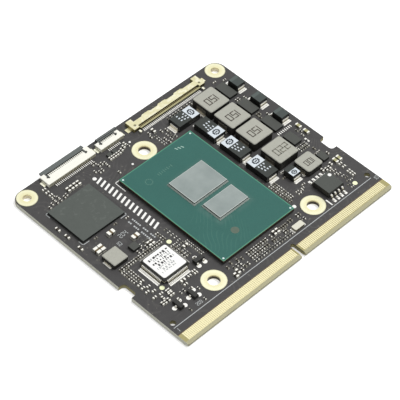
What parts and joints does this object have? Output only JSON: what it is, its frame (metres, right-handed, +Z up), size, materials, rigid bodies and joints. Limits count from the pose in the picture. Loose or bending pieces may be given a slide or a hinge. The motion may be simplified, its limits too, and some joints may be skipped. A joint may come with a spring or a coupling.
{
  "type": "card-edge system on module",
  "caption": "Compact computer board with a gold card edge, bare-die processor package, memory, power stages and flip-lid film-cable connectors along the far edge.",
  "frame": {"origin": "centre of the circuit board's underside", "axes": "+X along the card edge, +Y from the card edge to the connector edge, +Z up out of the component side"},
  "size_m": [0.0696, 0.0605, 0.004],
  "materials": {
    "solder_mask": "satin",
    "gold_plating": "satin",
    "package_mask": "satin",
    "silicon": "polished",
    "underfill": "satin",
    "memory_mould": "matte",
    "mould_compound": "matte",
    "label_paper": "matte",
    "pressed_powder": "matte",
    "capacitor_resin": "satin",
    "white_plastic": "satin",
    "dark_plastic": "satin",
    "tinned_metal": "satin",
    "olive_plastic": "satin",
    "ceramic": "satin"
  },
  "bodies": {
    "module": {"circuit_board": "solder_mask", "controller": "mould_compound", "controller_label": "label_paper", "cooler_ring_far": "gold_plating", "cooler_ring_near_left": "gold_plating", "cooler_ring_near_right": "gold_plating", "corner_ring_left": "gold_plating", "corner_ring_right": "gold_plating", "crystal": "ceramic", "display_connector_insulator": "olive_plastic", "display_connector_post_left": "tinned_metal", "display_connector_post_right": "tinned_metal", "display_connector_shell": "gold_plating", "edge_capacitor_1": "capacitor_resin", "edge_capacitor_2": "capacitor_resin", "edge_capacitor_3": "capacitor_resin", "flash_memory": "mould_compound", "input_inductor": "pressed_powder", "memory_package": "memory_mould", "narrow_connector_housing": "white_plastic", "narrow_connector_tab_left": "tinned_metal", "narrow_connector_tab_right": "tinned_metal", "polymer_capacitor_1": "capacitor_resin", "polymer_capacitor_2": "capacitor_resin", "polymer_capacitor_3": "capacitor_resin", "polymer_capacitor_4": "capacitor_resin", "power_inductor_1": "pressed_powder", "power_inductor_2": "pressed_powder", "power_inductor_3": "pressed_powder", "power_inductor_4": "pressed_powder", "power_stage_1": "mould_compound", "power_stage_2": "mould_compound", "power_stage_3": "mould_compound", "processor_die_large": "silicon", "processor_die_small": "silicon", "processor_substrate": "package_mask", "protection_chip_1": "mould_compound", "protection_chip_2": "mould_compound", "regulator_left": "mould_compound", "regulator_lower": "mould_compound", "regulator_upper": "mould_compound", "small_capacitor": "capacitor_resin", "small_inductor": "pressed_powder", "transistor_1": "mould_compound", "transistor_2": "mould_compound", "transistor_3": "mould_compound", "underfill_large": "underfill", "underfill_small": "underfill", "wide_connector_housing": "white_plastic", "wide_connector_tab_left": "tinned_metal", "wide_connector_tab_right": "tinned_metal"},
    "wide_lid": {"wide_connector_lid": "dark_plastic"},
    "narrow_lid": {"narrow_connector_lid": "dark_plastic"}
  },
  "joints": [
    {"name": "wide_lid_hinge", "type": "hinge", "parent": "module", "child": "wide_lid", "pos_m": [-0.0182, 0.02805, 0.00196], "axis": [1, 0, 0], "range_deg": [0, 90]},
    {"name": "narrow_lid_hinge", "type": "hinge", "parent": "module", "child": "narrow_lid", "pos_m": [-0.00515, 0.02755, 0.00196], "axis": [1, 0, 0], "range_deg": [0, 90]}
  ]
}
